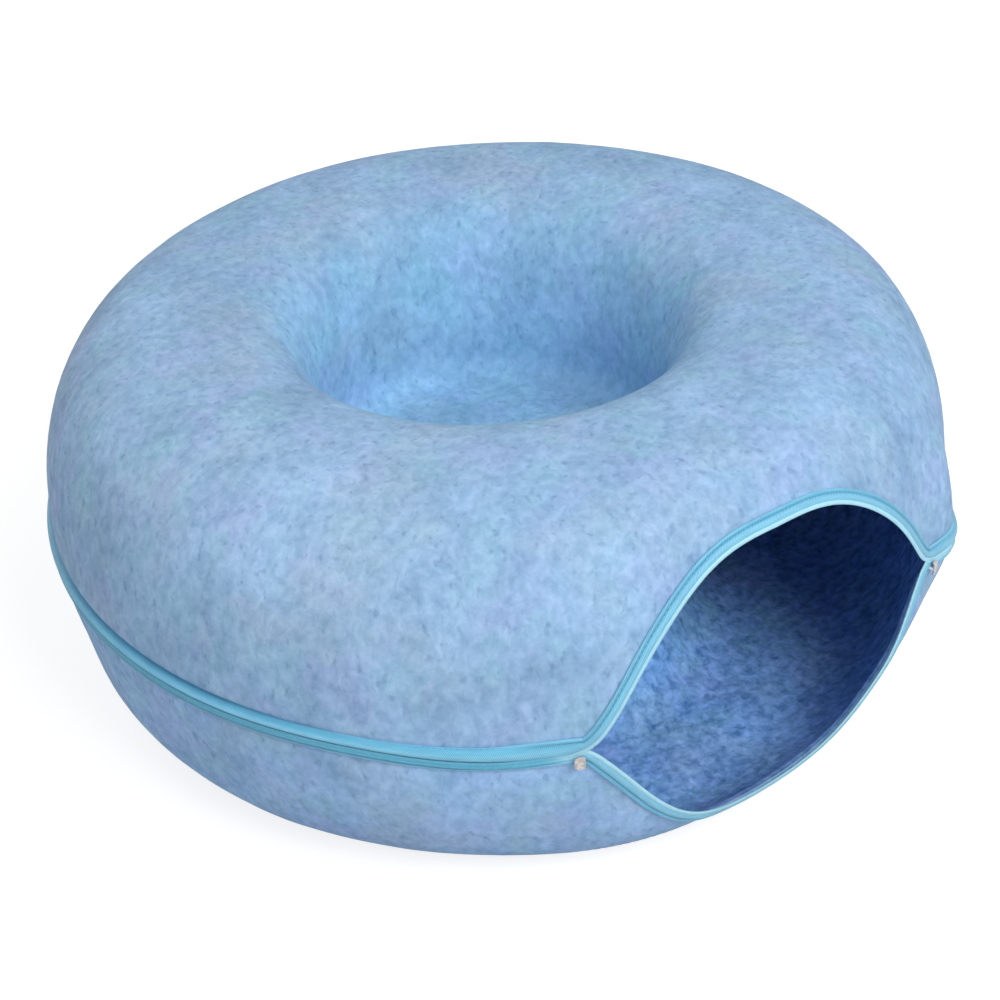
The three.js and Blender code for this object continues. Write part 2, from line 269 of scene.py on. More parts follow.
def rim_curl(girth, climb, place):
    """How far the felt's rim curls in along the closed zip."""
    share = np.clip((EDGE_CURL_AWAY - climb) / (EDGE_CURL_AWAY - FELT_EDGE_AWAY), 0, 1)
    lies = lie(girth, place)
    return EDGE_CURL * (lies["sunk"] + EDGE_CURL_ROLLED * lies["rolled"]) * share**2


def dented(girth, height, place):
    lift = np.zeros(girth.shape)
    for azimuth, level, out, round_reach, up_reach in DENTS[place]:
        turned = (np.degrees(girth / OUTER_RADIUS) - azimuth + 180) % 360 - 180
        lift += out * MM * bell(turned, round_reach) * bell(height / MM - level, up_reach)
    return lift


def wall_point(girth, length, lift, place):
    """Points on a shell's wall, lifted out of its face. The zip's corners stand out a little."""
    girth, length, lift = np.broadcast_arrays(girth, length, lift)
    radius, height, out_radius, out_height = face_at(length)
    past = past_corner(girth)
    near_rim = 1 - smooth_step(length / RIM_REACH[place])
    push = np.zeros(girth.shape)
    drop = np.zeros(girth.shape)
    for name, here in (("left", girth < 0), ("right", girth >= 0)):
        out, at, reach = CORNERS[name]["push"]
        push += np.where(here, out * MM * bell(past - at * MM, reach * MM), 0)
        for sag, at, reach in CORNERS[name]["sags"]:
            onset = eased(past, -SAG_ONSET, SAG_ONSET) if sag > 0 else 1
            drop += np.where(here, sag * MM * bell(past - at * MM, reach * MM) * onset, 0)
    lift = lift + dented(girth, height, place) * (out_radius > 0)
    radius = radius + out_radius * lift + push * near_rim
    height = height + out_height * lift
    level = height if place == "upper" else -np.minimum(height, ZIP_HEIGHT)
    azimuth = girth / OUTER_RADIUS
    x, y = radius * np.sin(azimuth), RING_CENTRE_Y - radius * np.cos(azimuth)
    return np.stack([x, y, ZIP_HEIGHT + level - drop * near_rim], -1)


# Making pieces


def start_piece(add_shape, **size):
    """Adds a shape with nothing else selected, and opens its mesh with all of it selected."""
    bpy.ops.object.select_all(action="DESELECT")
    add_shape(**size)
    open_mesh()
    return bpy.context.object


def open_mesh():
    bpy.ops.object.mode_set(mode="EDIT")
    bpy.ops.mesh.select_all(action="SELECT")


def close_mesh():
    bpy.ops.object.mode_set(mode="OBJECT")


def cut_across(place, direction):
    """Adds a row of edges where a plane crosses the open mesh."""
    bpy.ops.mesh.select_all(action="SELECT")
    bpy.ops.mesh.bisect(plane_co=place, plane_no=direction)


def select_only(piece):
    bpy.ops.object.select_all(action="DESELECT")
    piece.select_set(True)
    bpy.context.view_layer.objects.active = piece


def apply_modifier(piece, kind, **settings):
    select_only(piece)
    modifier = piece.modifiers.new(kind.title(), kind)
    for name, value in settings.items():
        setattr(modifier, name, value)
    bpy.ops.object.modifier_apply(modifier=modifier.name)


def round_edges(piece, width, degrees):
    apply_modifier(piece, "BEVEL", width=width, segments=2, angle_limit=math.radians(degrees))


def clean_up(piece, merge=0.01 * MM):
    """Closes seams and poles and turns the faces outwards."""
    select_only(piece)
    open_mesh()
    bpy.ops.mesh.remove_doubles(threshold=merge)
    bpy.ops.mesh.normals_make_consistent(inside=False)
    close_mesh()


def shade_smooth(piece, degrees):
    select_only(piece)
    bpy.ops.object.shade_smooth_by_angle(angle=math.radians(degrees))


def join(pieces, name):
    bpy.ops.object.select_all(action="DESELECT")
    for piece in pieces:
        piece.select_set(True)
    bpy.context.view_layer.objects.active = pieces[0]
    bpy.ops.object.join()
    joined = bpy.context.object
    joined.name = joined.data.name = name
    return joined


def finish_piece(piece, material, slot, *nodes):
    if material:
        piece.data.materials.clear()
        piece.data.materials.append(material)
    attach(piece, "root")
    if nodes:
        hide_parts(*nodes)


def laid_grid(name, points, cloth):
    """A flat grid whose rows and columns are laid on the given points. cloth gives each point's
    place on the flat cloth, in metres, for its weave."""
    columns, rows = points.shape[:2]
    bpy.ops.object.select_all(action="DESELECT")
    bpy.ops.mesh.primitive_grid_add(
        x_subdivisions=columns - 1, y_subdivisions=rows - 1, size=1, calc_uvs=True
    )
    piece = bpy.context.object
    piece.name = piece.data.name = name
    mesh = piece.data
    laid = points.transpose(1, 0, 2).reshape(-1, 3)
    mesh.vertices.foreach_set("co", laid.astype(np.float32).ravel())
    corner = np.zeros(len(mesh.loops), np.int32)
    mesh.loops.foreach_get("vertex_index", corner)
    place = cloth.transpose(1, 0, 2).reshape(-1, 2)[corner]
    mesh.uv_layers.active.data.foreach_set("uv", place.astype(np.float32).ravel())
    mesh.update()
    return piece


# The felt shells


def shell_columns():
    """Places round the wall, closer together round the entrance."""
    fine_half = ENTRANCE_HALF_WIDTH + FINE_PAST_CORNER
    fine = np.linspace(-fine_half, fine_half, ENTRANCE_COLUMNS)
    coarse = fine_half + np.linspace(0, TURN - 2 * fine_half, OTHER_COLUMNS)[1:]
    return np.concatenate([fine, coarse])


def home(girth):
    """Brings a girth back to within half a turn of the entrance."""
    return (girth + TURN / 2) % TURN - TURN / 2


def relief(points):
    """Low swells and dimples, mostly from -1 to 1."""
    swells = []
    for point in points.reshape(-1, 3):
        p = Vector(point)
        parts = (share * noise.noise(p * fine + Vector(shift)) for fine, shift, share in SWELLS)
        swells.append(sum(parts))
    return np.array(swells).reshape(points.shape[:-1])


def felt_shell(place, faces):
    around = shell_columns()
    girth = home(around)
    climb = edge_climb(girth)
    near = climb[:, None] + RIM_ROWS[None, :]
    further = mix(near[:, -1:], FACE_LENGTH, np.linspace(0, 1, FELT_ROWS + 1)[None, 1:])
    length = np.concatenate([near, further], 1)
    girths = np.broadcast_to(girth[:, None], length.shape)
    curl = rim_curl(girths, length, place)
    from_rim = length - climb[:, None]
    middle = smooth_step((FACE_LENGTH - length) / RELIEF_FLOOR_REACH)
    fade = eased(from_rim, *RELIEF_PAST_RIM) * mix(RELIEF_ON_FLOOR, 1, middle)
    lift = relief(wall_point(girths, length, -curl, place)) * RELIEF * fade
    points = wall_point(girths, length, lift - curl, place)
    points[:, -1] = points[0, -1]
    cloth = np.stack([np.broadcast_to(around[:, None], length.shape), length], -1)
    piece = laid_grid(f"{place}_felt_shell", points, cloth)
    for face in faces:
        piece.data.materials.append(face)
    full = piece.vertex_groups.new(name="full thickness")
    weights = smooth_step(from_rim / FELT_EDGE_TAPER).T.ravel()
    full.add(np.flatnonzero(weights >= 1).tolist(), 1.0, "REPLACE")
    for index in np.flatnonzero((weights > 0) & (weights < 1)):
        full.add([int(index)], float(weights[index]), "REPLACE")
    clean_up(piece)
    face_outwards(piece)
    apply_modifier(
        piece,
        "SOLIDIFY",
        thickness=FELT_THICKNESS,
        offset=-1,
        use_even_offset=True,
        use_rim=True,
        vertex_group="full thickness",
        thickness_vertex_group=FELT_EDGE_SHARE,
        material_offset=1,
    )
    piece.vertex_groups.clear()
    round_edges(piece, 0.6 * MM, 60)
    shade_smooth(piece, 60)
    return piece


def face_outwards(piece):
    """Turns an open shell so that its normals point out of the felt's outer face, away from a
    circle inside its wall."""
    centre = Vector((0, RING_CENTRE_Y, ZIP_HEIGHT))
    total = 0
    for polygon in piece.data.polygons:
        out = polygon.center - centre
        ring = Vector((out.x, out.y, 0)).normalized() * (RIDGE_RADIUS + 10 * MM)
        total += polygon.normal.dot(out - ring) * polygon.area
    if total < 0:
        select_only(piece)
        open_mesh()
        bpy.ops.mesh.flip_normals()
        close_mesh()


# The zip


def zip_run(count):
    """Girths once round the ring, from the back, and the zip's length up to each of them."""
    girth = np.linspace(-TURN / 2, TURN / 2, count)
    steps = np.hypot(np.diff(girth), np.diff(zip_climb(girth)))
    return girth, np.concatenate([[0], np.cumsum(steps)])


def zip_line_columns():
    """Places along the zip's line, close together at its corners."""
    girth, length = zip_run(20001)
    past = past_corner(girth)
    pitch = mix(COLUMN_PITCH["closed"], COLUMN_PITCH["corner"], bell(past, CORNER_REACH))
    pitch = np.where(past < 0, np.minimum(pitch, COLUMN_PITCH["open"]), pitch)
    steps = np.concatenate([[0], np.cumsum(np.diff(length) / pitch[1:])])
    even = np.linspace(0, steps[-1], int(steps[-1]) + 1)
    return np.interp(even, steps, girth), np.interp(even, steps, length)


def even_girths(pitch, start):
    """Girths at an even pitch along the zip's line, starting at the back."""
    girth, length = zip_run(40001)
    count = int(round(length[-1] / pitch))
    even = (np.arange(count) + start) * length[-1] / count
    return np.interp(even, length, girth)


def beside_zip(girth, away, lift, place):
    """Points beside the zip's line, square to it along the wall."""
    reach = 3 * MM
    climb = zip_climb(girth)
    slope = (zip_climb(girth + reach) - zip_climb(girth - reach)) / (2 * reach)
    square = 1 / np.hypot(1, slope)
    stretch = OUTER_RADIUS / face_at(climb)[0]
    besides = girth - away * slope * square * stretch
    return wall_point(besides, climb + away * square, lift, place)


def smooth_rows(rows, count):
    """Resamples a short list of section rows on a smooth line through them."""
    rows = np.array(rows, float)
    padded = np.concatenate([[2 * rows[0] - rows[1]], rows, [2 * rows[-1] - rows[-2]]])
    out = []
    for t in np.linspace(0, len(rows) - 1, count):
        k = min(int(t), len(rows) - 2)
        u = t - k
        p0, p1, p2, p3 = padded[k : k + 4]
        bend = (2 * p0 - 5 * p1 + 4 * p2 - p3) * u**2 + (3 * p1 - p0 - 3 * p2 + p3) * u**3
        out.append(0.5 * (2 * p1 + (p2 - p0) * u + bend))
    return np.array(out)


def blended(values, girth, place):
    """A size that differs where the tape lies flat, rolled or sunk."""
    return sum(share * values[name] for name, share in lie(girth, place).items())


def tape_section(girth, place):
    """Away and lift of the tape's section at each girth, on a smooth line through its rows."""
    smooth = {name: smooth_rows(rows, TAPE_ROWS) * MM for name, rows in TAPE_SECTIONS.items()}
    lies = lie(girth, place)
    both = sum(lies[name][:, None, None] * smooth[name][None] for name in smooth)
    away, lift = both[..., 0], both[..., 1]
    if place == "lower":
        lift = lift * mix(LOWER_TAPE_LIFT, 1, lies["flat"])[:, None]
    drop = seam_drop(girth)[:, None] * eased(away, *SEAM_WIDTH) * DOWN[place]
    return away + drop, lift


def zip_tape(place):
    girth, length = zip_line_columns()
    away, lift = tape_section(girth, place)
    girths = np.broadcast_to(girth[:, None], away.shape)
    points = beside_zip(girths, away, lift, place)
    points[-1] = points[0]
    across = np.linspace(0, TAPE_WIDTH, TAPE_ROWS)
    cloth = np.stack(np.broadcast_arrays(length[:, None], across[None, :]), -1)
    piece = laid_grid(f"{place}_tape", points, cloth)
    clean_up(piece)
    apply_modifier(piece, "SOLIDIFY", thickness=TAPE_THICKNESS, offset=0, use_even_offset=False)
    round_edges(piece, 0.3 * MM, 60)
    shade_smooth(piece, 60)
    return piece


def line_frames(girth, away, lift, place):
    """Position, direction along the zip, direction out of the wall and direction away from the
    zip's line, for each girth."""
    step = 0.4 * MM
    here = beside_zip(girth, away, lift, place)
    ahead, behind = (beside_zip(girth + s, away, lift, place) for s in (step, -step))
    above, below = (beside_zip(girth, away, lift + s, place) for s in (step, -step))
    along, out = ahead - behind, above - below
    along /= np.linalg.norm(along, axis=1)[:, None]
    out -= along * np.sum(out * along, axis=1)[:, None]
    out /= np.linalg.norm(out, axis=1)[:, None]
    return here, along, out, np.cross(out, along) * -DOWN[place]


def repeated(name, pattern, here, along, out, up):
    """One joined mesh with a copy of the pattern piece at each place. The pattern's x runs along
    the zip, y out of the wall and z away from the zip's line."""
    mesh = pattern.data
    points = np.zeros(len(mesh.vertices) * 3, np.float32)
    mesh.vertices.foreach_get("co", points)
    points = points.reshape(-1, 3)
    faces = [list(p.vertices) for p in mesh.polygons]
    laid = here[:, None]
    for axis, direction in enumerate((along, out, up)):
        laid = laid + points[None, :, axis : axis + 1] * direction[:, None]
    flip = np.dot(np.cross(along[0], out[0]), up[0]) < 0
    all_faces = []
    for k in range(len(here)):
        for face in faces:
            turned = [v + k * len(points) for v in face]
            all_faces.append(turned[::-1] if flip else turned)
    joined = bpy.data.meshes.new(name)
    joined.from_pydata(laid.reshape(-1, 3).tolist(), [], all_faces)
    joined.update()
    piece = bpy.data.objects.new(name, joined)
    bpy.context.scene.collection.objects.link(piece)
    bpy.data.objects.remove(pattern)
    return piece


def tooth_pattern():
    """One turn of the coil: a slim rounded bar across the tape's edge, a little thicker at its
    head and leaning along the zip."""
    tooth = start_piece(bpy.ops.mesh.primitive_uv_sphere_add, segments=8, ring_count=5, radius=1)
    bpy.ops.transform.resize(value=(TOOTH["thick"], TOOTH["deep"], TOOTH["long"]))
    close_mesh()
    for vertex in tooth.data.vertices:
        head = -vertex.co.z / TOOTH["long"]
        vertex.co.x *= 1 + TOOTH_HEAD * max(head, 0)
        vertex.co.x += vertex.co.z * TOOTH_LEAN
        vertex.co.z = TOOTH["long"] * math.copysign(abs(head) ** TOOTH_ROUND, -head)
    return tooth


def coil_cord(here, along, out, up):
    """The cord that runs through the coil's turns."""
    turn = np.linspace(0, 2 * math.pi, 9)[None, :, None]
    deep, wide = (TOOTH[size] - CORD_SLIMMER[size] for size in ("deep", "long"))
    points = here[:, None] + deep * np.cos(turn) * out[:, None] + wide * np.sin(turn) * up[:, None]
    points = np.concatenate([points, points[:1]])
    piece = laid_grid("coil_cord", points, np.zeros(points.shape[:2] + (2,)))
    clean_up(piece)
    return piece


def coil(place):
    girth = even_girths(TOOTH_PITCH, 0.0 if place == "upper" else 0.5)
    away = blended(COIL_AWAY, girth, place) + seam_drop(girth) * DOWN[place]
    frames = line_frames(girth, away, blended(COIL_LIFT, girth, place), place)
    teeth = repeated("teeth", tooth_pattern(), *frames)
    piece = join([teeth, coil_cord(*(rows[::2] for rows in frames))], f"{place}_coil_teeth")
    shade_smooth(piece, 70)
    return piece


def stitch_pattern():
    """One stitch: a thread that comes up out of the tape, lies on it and goes down again."""
    size = {"vertices": 6, "radius": STITCH_RADIUS, "depth": 2 * STITCH_HALF}
    stitch = start_piece(bpy.ops.mesh.primitive_cylinder_add, **size)
    bpy.ops.transform.rotate(value=math.pi / 2, orient_axis="Y", center_override=(0, 0, 0))
    for share in (-0.75, -0.25, 0.25, 0.75):
        cut_across((share * STITCH_HALF, 0, 0), (1, 0, 0))
    close_mesh()
    for vertex in stitch.data.vertices:
        share = vertex.co.x / STITCH_HALF
        slimmer = 1 - STITCH_THINNING * share**2
        vertex.co.y = vertex.co.y * slimmer + STITCH_RISE - STITCH_DIP * share**4
        vertex.co.z = vertex.co.z * slimmer
    return stitch


def stitches(place):
    girth = even_girths(STITCH_PITCH, 0.3 if place == "upper" else 0.8)
    rows = {name: np.array(TAPE_SECTIONS[name][row]) * MM for name, row in STITCH_ROWS.items()}
    away = blended({name: row[0] for name, row in rows.items()}, girth, place)
    lift = blended({name: row[1] + STITCH_LIFT[name] for name, row in rows.items()}, girth, place)
    frames = line_frames(girth, away, lift, place)
    piece = repeated(f"{place}_stitches", stitch_pattern(), *frames)
    shade_smooth(piece, 70)
    return piece


# The sliders. A slider is modelled lying along x with its mouth towards +x, its front along +y and
# the wall's upward direction along +z, and is then set on the zip's corner.

SLIDER = {
    "length": 7 * MM,
    "width": 8.8 * MM,
    "plate": 1.1 * MM,
    "front_lift": 3.9 * MM,
    "back_lift": -1.4 * MM,
    "past_corner": 5.5 * MM,
    "below_line": 6.6 * MM,
    "front_crown": 0.5 * MM,
    "flange_depth": 1.5 * MM,
    "flange_thickness": 0.8 * MM,
    "post_radius": 1.0 * MM,
    "post_from_middle": 2.4 * MM,
    "loop_radius": 2.2 * MM,
    "loop_thickness": 0.5 * MM,
}
SLIDER_WAIST = (0.72, 1.0)
FLANGE_WAIST = (0.70, 0.93)


def waisted(x, waist):
    """How wide the slider is at x, from -1 at its closed end to 1 at its mouth."""
    return mix(*waist, smooth_step((x + 1) / 1.3))


def slider_plate(name, lift, crown):
    """A plate with a rounded outline, waisted towards the closed end and softly crowned."""
    plate = start_piece(bpy.ops.mesh.primitive_cube_add, size=1, location=(0, lift, 0))
    plate.name = name
    bpy.ops.transform.resize(
        value=(SLIDER["length"], SLIDER["plate"], SLIDER["width"]), center_override=(0, lift, 0)
    )
    for share in (-0.3, 0.0, 0.3):
        cut_across((share * SLIDER["length"], 0, 0), (1, 0, 0))
        cut_across((0, 0, share * SLIDER["width"]), (0, 0, 1))
    close_mesh()
    bpy.ops.object.transform_apply(location=True, rotation=True, scale=True)
    half_length, half_width = SLIDER["length"] / 2, SLIDER["width"] / 2
    for vertex in plate.data.vertices:
        x, z = vertex.co.x / half_length, vertex.co.z / half_width
        vertex.co.z *= waisted(x, SLIDER_WAIST)
        vertex.co.x *= 1 - 0.12 * z * z
        vertex.co.y += crown * (1 - z * z) * (1 - 0.6 * x * x)
    round_edges(plate, 0.35 * MM, 40)
    apply_modifier(plate, "SUBSURF", levels=1, render_levels=1)
    return plate


def slider_flange(side):
    """The flange along one edge of the front plate, turned in towards the tape."""
    flange = start_piece(bpy.ops.mesh.primitive_cube_add, size=1)
    bpy.ops.transform.resize(
        value=(SLIDER["length"] * 0.8, SLIDER["flange_depth"], SLIDER["flange_thickness"])
    )
    cut_across((0, 0, 0), (1, 0, 0))
    close_mesh()
    for vertex in flange.data.vertices:
        x = vertex.co.x / (SLIDER["length"] / 2)
        vertex.co.z += side * waisted(x, FLANGE_WAIST) * SLIDER["width"] / 2
        vertex.co.y += SLIDER["front_lift"] + 0.1 * MM
    round_edges(flange, 0.25 * MM, 40)
    return flange


def slider_post():
    """The post between the plates, at the mouth, which parts the coils."""
    depth = SLIDER["front_lift"] - SLIDER["back_lift"] + 0.6 * MM
    middle = (SLIDER["front_lift"] + SLIDER["back_lift"]) / 2 + 0.4 * MM
    size = {"vertices": 16, "radius": SLIDER["post_radius"], "depth": depth}
    post = start_piece(bpy.ops.mesh.primitive_cylinder_add, **size)
    bpy.ops.transform.rotate(value=math.pi / 2, orient_axis="X", center_override=(0, 0, 0))
    bpy.ops.transform.translate(value=(SLIDER["post_from_middle"], middle, 0))
    close_mesh()
    return post


def slider_loop():
    """The low loop on the front plate that a pull tab would hang from."""
    loop = start_piece(
        bpy.ops.mesh.primitive_torus_add,
        major_segments=24,
        minor_segments=8,
        major_radius=SLIDER["loop_radius"],
        minor_radius=SLIDER["loop_thickness"],
    )
    bpy.ops.transform.rotate(value=math.pi / 2, orient_axis="X", center_override=(0, 0, 0))
    bpy.ops.transform.resize(value=(1.1, 0.85, 1.7))
    bpy.ops.mesh.bisect(
        plane_co=(0, -0.2 * MM, 0), plane_no=(0, -1, 0), clear_outer=True, use_fill=True
    )
    bpy.ops.mesh.select_all(action="SELECT")
    bpy.ops.transform.translate(value=(-0.3 * MM, SLIDER["front_lift"] + 0.75 * MM, 0))
    close_mesh()
    return loop


def slider(name, towards):
    """towards is 1 when the entrance lies to the slider's right, seen from outside."""
    half_plate = SLIDER["plate"] / 2
    pieces = [
        slider_plate(name, SLIDER["front_lift"] + half_plate, SLIDER["front_crown"]),
        slider_plate(name, SLIDER["back_lift"] + half_plate, 0.0),
        slider_flange(1),
        slider_flange(-1),
        slider_post(),
        slider_loop(),
    ]
    body = join(pieces, name)
    clean_up(body, 0.001 * MM)
    girth = -towards * (ENTRANCE_HALF_WIDTH + SLIDER["past_corner"])
    below = np.array([-SLIDER["below_line"]])
    seat = wall_point(np.array([girth]), below, np.array([0.0]), "upper")[0]
    azimuth = girth / OUTER_RADIUS
    out = Vector((math.sin(azimuth), -math.cos(azimuth), 0))
    along = Vector((math.cos(azimuth), math.sin(azimuth), 0)) * towards
    place = Matrix((along, out, Vector((0, 0, 1)))).transposed().to_4x4()
    place.translation = Vector(seat)
    body.data.transform(place)
    clean_up(body, 0.001 * MM)
    shade_smooth(body, 40)
    return body


# Finishes


def linear(red, green, blue):
    """A colour given as it looks on a screen, 0 to 255, as the shader wants it."""

    def channel(value):
        value /= 255
        return value / 12.92 if value <= 0.04045 else ((value + 0.055) / 1.055) ** 2.4

    return (channel(red), channel(green), channel(blue), 1.0)


def feed(tree, node, feeds):
    """Sets a node's inputs, by name or number, to plain values or to other nodes' outputs."""
    for key, value in feeds.items():
        if isinstance(value, bpy.types.NodeSocket):
            tree.links.new(value, node.inputs[key])
        else:
            node.inputs[key].default_value = value


def add(tree, kind, feeds=None, **settings):
    node = tree.nodes.new(kind)
    for name, value in settings.items():
        setattr(node, name, value)
    feed(tree, node, feeds or {})
    return node


def ramp(tree, source, low, high, to=(0, 1)):
    """Spreads a value from low..high to the range that to gives, softly."""
    feeds = {"Value": source, "From Min": low, "From Max": high, "To Min": to[0], "To Max": to[1]}
    return add(tree, "ShaderNodeMapRange", feeds, interpolation_type="SMOOTHSTEP").outputs["Result"]


def calculate(tree, operation, *values, clamp=False):
    feeds = dict(enumerate(values))
    return add(tree, "ShaderNodeMath", feeds, operation=operation, use_clamp=clamp).outputs[0]


def calculate_vector(tree, operation, *values):
    node = add(tree, "ShaderNodeVectorMath", dict(enumerate(values)), operation=operation)
    return node.outputs["Value" if operation == "LENGTH" else "Vector"]


def mix_colour(tree, share, a, b, blend="MIX"):
    feeds = {0: share, 6: a, 7: b}
    return add(tree, "ShaderNodeMix", feeds, data_type="RGBA", blend_type=blend).outputs[2]


def axes(tree, vector):
    return add(tree, "ShaderNodeSeparateXYZ", {0: vector}).outputs


def object_place(tree):
    return add(tree, "ShaderNodeTexCoord").outputs["Object"]


def cloth_place(tree):
    return add(tree, "ShaderNodeUVMap").outputs["UV"]


def noise_at(tree, vector, scale, detail, rough, distort=0.0):
    feeds = {"Vector": vector, "Scale": scale, "Detail": detail, "Roughness": rough}
    feeds["Distortion"] = distort
    return add(tree, "ShaderNodeTexNoise", feeds).outputs["Fac"]


def stretched_noise(tree, vector, turn, stretch, detail=3.0, rough=0.55, distort=0.0):
    """Noise on a turned and stretched copy of the coordinates, so that it runs in streaks."""
    mapping = add(tree, "ShaderNodeMapping", {"Vector": vector, "Rotation": turn, "Scale": stretch})
    return noise_at(tree, mapping.outputs[0], 1.0, detail, rough, distort)


def relief_normal(tree, height, strength, distance):
    feeds = {"Strength": strength, "Distance": distance, "Height": height}
    return add(tree, "ShaderNodeBump", feeds).outputs["Normal"]


def new_group(name, inputs, outputs):
    """A node group. Each input has its kind and usual value, and each output its kind."""
    tree = bpy.data.node_groups.new(name, "ShaderNodeTree")
    sockets = tree.interface
    for title, (kind, value) in inputs.items():
        socket = sockets.new_socket(name=title, in_out="INPUT", socket_type=f"NodeSocket{kind}")
        if value is not None:
            socket.default_value = value
    for title, kind in outputs.items():
        sockets.new_socket(name=title, in_out="OUTPUT", socket_type=f"NodeSocket{kind}")
    return tree, add(tree, "NodeGroupInput").outputs, add(tree, "NodeGroupOutput")


def new_finish(name, constants):
    """A material whose shader has the constants on its own sockets."""
    material = bpy.data.materials.new(name)
    material.use_nodes = True
    tree = material.node_tree
    shader = next(n for n in tree.nodes if n.type == "BSDF_PRINCIPLED")
    feed(tree, shader, constants)
    return material, tree, shader


WHITE = (1, 1, 1, 1)
FIBRES = {
    "Pale Fibre": linear(147, 191, 236),
    "Deep Fibre": linear(107, 146, 183),
    "Lavender Drift": linear(140, 167, 218),
    "Teal Drift": linear(130, 182, 212),
    "Grey Drift": linear(142, 174, 204),
    "Fleck": linear(88, 124, 172),
    # Painted light: the next tint makes the well greener, for light bounced between its walls.
    "Painted Well Bounce": (0.95, 1.09, 1.06, 1),
    # Painted light: the next tint makes the left of the ridge paler and warmer, for warm light from
    # the upper left.
    "Painted Ridge Light": (1.11, 1.07, 1.04, 1),
}
# Drifts of tint: how the noise is turned, its scale, where in it they begin and end, their share
DRIFTS = {
    "Lavender Drift": ((0.2, 0.5, 0.1), 23, 0.46, 0.68, 0.45),
    "Teal Drift": ((1.1, 0.1, 0.7), 31, 0.48, 0.70, 0.5),
    "Grey Drift": ((0.6, 1.3, 0.2), 17, 0.48, 0.70, 0.4),
}
# Strokes of fibre: where in their noise they begin and end
STROKES = {"Pale Fibre": (0.55, 0.76), "Deep Fibre": (0.44, 0.24)}
STROKE_SHARE = 0.2
FLECK_SHARE = 0.36


def heather_group():
    """Needle felt of mixed fibres: clouds of paler and deeper fibre with faint drifts of tint,
    short strokes that run round the wall and down the well, a few dark flecks, and tufts."""
    inputs = {"Vector": ("Vector", None), "Cloth": ("Vector", None)}
    inputs.update({name: ("Color", shade) for name, shade in FIBRES.items()})
    inputs["Mottling"] = ("Vector", (1.02, 0.80, 0.60))
    outputs = {"Color": "Color", "Height": "Float", "Roughness": "Float"}
    tree, given, result = new_group("heathered felt", inputs, outputs)
    vector = given["Vector"]

    from_axis = calculate_vector(tree, "SUBTRACT", vector, (0, RING_CENTRE_Y, 0))
    level = calculate_vector(tree, "MULTIPLY", from_axis, (1, 1, 0))
    radius = calculate_vector(tree, "LENGTH", level)
    in_well = ramp(tree, radius, 165 * MM, 118 * MM)

    cloud = noise_at(tree, vector, 20, 2.0, 0.6)
    share = calculate(tree, "MULTIPLY_ADD", cloud, 1.2, -0.1, clamp=True)
    colour = mix_colour(tree, share, given["Deep Fibre"], given["Pale Fibre"])
    for name, (turn, scale, low, high, amount) in DRIFTS.items():
        drift = stretched_noise(tree, vector, turn, (scale,) * 3, 2.0, 0.5)
        drift = calculate(tree, "MULTIPLY", ramp(tree, drift, low, high), amount)
        colour = mix_colour(tree, drift, colour, given[name])

    # Strokes lie on coordinates of their own: round the wall, and along the cloth from the rim to
    # the well, where they are longer. They wander a little, and fade out on the well's floor.
    round_wall = calculate_vector(tree, "NORMALIZE", level)
    held = calculate(tree, "MULTIPLY_ADD", in_well, -0.7, 1.0)
    inwards = calculate(tree, "MULTIPLY", axes(tree, given["Cloth"])["Y"], held)
    lengthwise = add(tree, "ShaderNodeCombineXYZ", {"Z": inwards}).outputs[0]
    wall_size = (OUTER_RADIUS, OUTER_RADIUS, 0)
    laid = calculate_vector(tree, "MULTIPLY_ADD", round_wall, wall_size, lengthwise)
    wander = add(tree, "ShaderNodeTexNoise", {"Vector": vector, "Scale": 40}).outputs["Color"]
    bent = calculate_vector(tree, "MULTIPLY_ADD", wander, (14 * MM,) * 3, laid)
    stroke = stretched_noise(tree, bent, (0, 0, 0), (230, 230, 620), 2.5, 0.6)
    off_floor = ramp(tree, radius, 55 * MM, 110 * MM)
    for name, (low, high) in STROKES.items():
        share = calculate(tree, "MULTIPLY", ramp(tree, stroke, low, high), STROKE_SHARE)
        share = calculate(tree, "MULTIPLY", share, off_floor)
        colour = mix_colour(tree, share, colour, given[name])

    specks = stretched_noise(tree, vector, (0.5, 0.4, 0.1), (230, 230, 130), 0.6, 0.5)
    flecks = calculate(tree, "MULTIPLY", ramp(tree, specks, 0.36, 0.24), FLECK_SHARE)
    colour = mix_colour(tree, flecks, colour, given["Fleck"])

    # Mottling: rounded tufts a few millimetres across. Dark ones are also a deeper blue.
    tufts = stretched_noise(tree, vector, (0.35, 0.2, 0.0), (150, 150, 110), 2.6, 0.62, 0.35)
    from_mean = calculate_vector(tree, "SUBTRACT", tufts, (0.5, 0.5, 0.5))
    mottle = calculate_vector(tree, "MULTIPLY_ADD", from_mean, given["Mottling"], (1, 1, 1))
    colour = mix_colour(tree, 1.0, colour, mottle, "MULTIPLY")

    # Painted light: the left of the ridge is made paler and warmer, for warm light from the upper
    # left, and the well greener, for light bounced between its walls
    place = axes(tree, vector)
    high = ramp(tree, place["Z"], 160 * MM, 240 * MM)
    ridge_light = calculate(tree, "MULTIPLY", ramp(tree, place["X"], -90 * MM, -240 * MM), high)
    for name, share in (("Painted Ridge Light", ridge_light), ("Painted Well Bounce", in_well)):
        tint = mix_colour(tree, share, WHITE, given[name])
        colour = mix_colour(tree, 1.0, colour, tint, "MULTIPLY")

    fine = noise_at(tree, vector, 900, 2.0, 0.6)
    height = calculate(tree, "MULTIPLY_ADD", fine, 0.1, tufts)
    height = calculate(tree, "MULTIPLY_ADD", stroke, 0.35, height)
    rough = calculate(tree, "MULTIPLY_ADD", fine, 0.12, 0.86)
    feed(tree, result, {"Color": colour, "Height": height, "Roughness": rough})
    return tree


